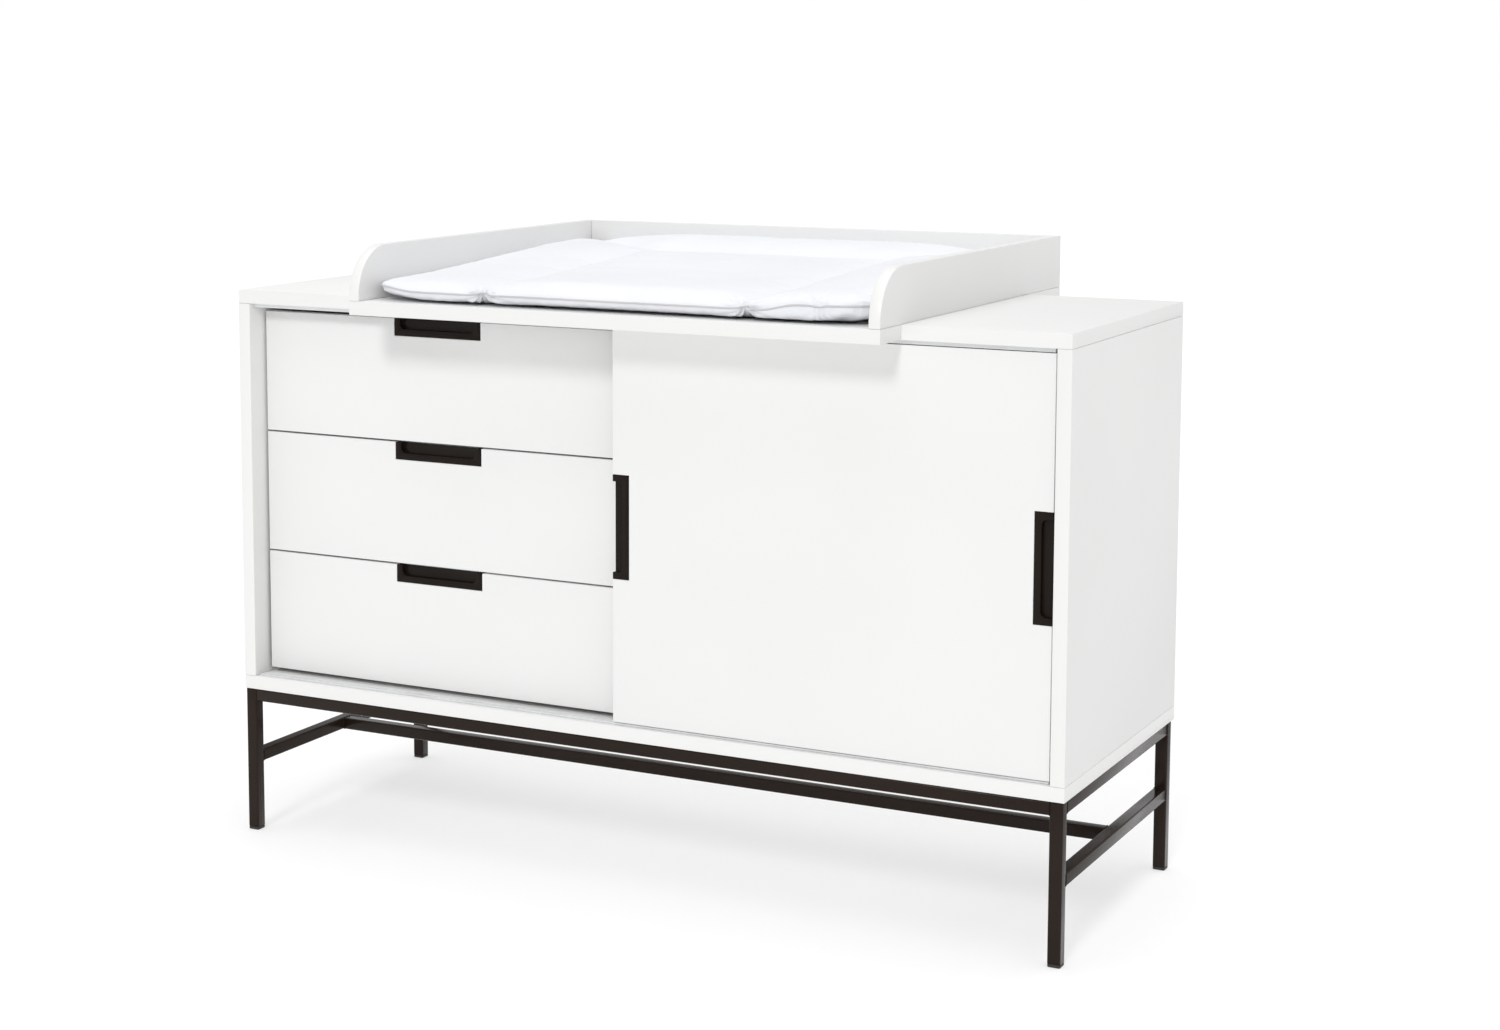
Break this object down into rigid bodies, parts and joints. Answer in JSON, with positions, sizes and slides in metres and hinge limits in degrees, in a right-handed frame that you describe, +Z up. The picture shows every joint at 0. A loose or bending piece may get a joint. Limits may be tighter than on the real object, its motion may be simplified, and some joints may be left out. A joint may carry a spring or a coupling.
{
  "type": "changing table",
  "caption": "Wide changing table: white cabinet with drawers and a sliding door on a dark square-tube frame, with an open-fronted tray and a quilted pad on top.",
  "frame": {"origin": "middle of the object's footprint, on the floor", "axes": "+X to the right seen from the front, +Y from the front to the back, +Z up"},
  "size_m": [1.43, 0.762, 0.9953],
  "materials": {
    "white_board": "satin white foil on board",
    "drawer_board": "matt off-white foil on board",
    "dark_steel": "dark brown powder coat",
    "dark_handle": "dark brown powder coat, fine texture",
    "track_metal": "satin anodised",
    "runner_steel": "zinc plated",
    "foot_plastic": "moulded, fine texture",
    "guide_plastic": "moulded nylon",
    "pad_fabric": "white woven cotton cover"
  },
  "bodies": {
    "cabinet": {"top_panel": "white_board", "bottom_panel": "white_board", "left_side_panel": "white_board", "right_side_panel": "white_board", "back_panel": "white_board", "centre_partition": "white_board", "cupboard_shelf": "white_board", "door_top_track": "track_metal", "door_bottom_track": "track_metal", "front_left_leg": "dark_steel", "front_left_foot": "foot_plastic", "front_right_leg": "dark_steel", "front_right_foot": "foot_plastic", "rear_left_leg": "dark_steel", "rear_left_foot": "foot_plastic", "rear_right_leg": "dark_steel", "rear_right_foot": "foot_plastic", "left_top_rail": "dark_steel", "left_stretcher": "dark_steel", "right_top_rail": "dark_steel", "right_stretcher": "dark_steel", "front_top_rail": "dark_steel", "rear_top_rail": "dark_steel", "centre_stretcher": "dark_steel", "tray_left_board": "white_board", "tray_right_board": "white_board", "tray_back_board": "white_board", "tray_front_lip": "white_board", "tray_rear_ledge": "white_board", "bottom_drawer_left_runner": "runner_steel", "bottom_drawer_right_runner": "runner_steel", "middle_drawer_left_runner": "runner_steel", "middle_drawer_right_runner": "runner_steel", "top_drawer_left_runner": "runner_steel", "top_drawer_right_runner": "runner_steel"},
    "door": {"door_panel": "white_board", "door_left_handle": "dark_handle", "door_right_handle": "dark_handle", "door_left_guide": "guide_plastic", "door_right_guide": "guide_plastic"},
    "bottom_drawer": {"bottom_drawer_front": "white_board", "bottom_drawer_handle": "dark_handle", "bottom_drawer_left_side": "drawer_board", "bottom_drawer_right_side": "drawer_board", "bottom_drawer_back": "drawer_board", "bottom_drawer_bottom": "drawer_board"},
    "middle_drawer": {"middle_drawer_front": "white_board", "middle_drawer_handle": "dark_handle", "middle_drawer_left_side": "drawer_board", "middle_drawer_right_side": "drawer_board", "middle_drawer_back": "drawer_board", "middle_drawer_bottom": "drawer_board"},
    "top_drawer": {"top_drawer_front": "white_board", "top_drawer_handle": "dark_handle", "top_drawer_left_side": "drawer_board", "top_drawer_right_side": "drawer_board", "top_drawer_back": "drawer_board", "top_drawer_bottom": "drawer_board"},
    "pad": {"changing_pad": "pad_fabric"}
  },
  "joints": [
    {"name": "door_slide", "type": "slide", "parent": "cabinet", "child": "door", "axis": [1, 0, 0], "range_m": [-0.674, 0]},
    {"name": "bottom_drawer_slide", "type": "slide", "parent": "cabinet", "child": "bottom_drawer", "axis": [0, -1, 0], "range_m": [0, 0.4]},
    {"name": "middle_drawer_slide", "type": "slide", "parent": "cabinet", "child": "middle_drawer", "axis": [0, -1, 0], "range_m": [0, 0.4]},
    {"name": "top_drawer_slide", "type": "slide", "parent": "cabinet", "child": "top_drawer", "axis": [0, -1, 0], "range_m": [0, 0.4]},
    {"name": "pad_lift", "type": "slide", "parent": "cabinet", "child": "pad", "axis": [0, 0, 1], "range_m": [0, 0.15]}
  ]
}
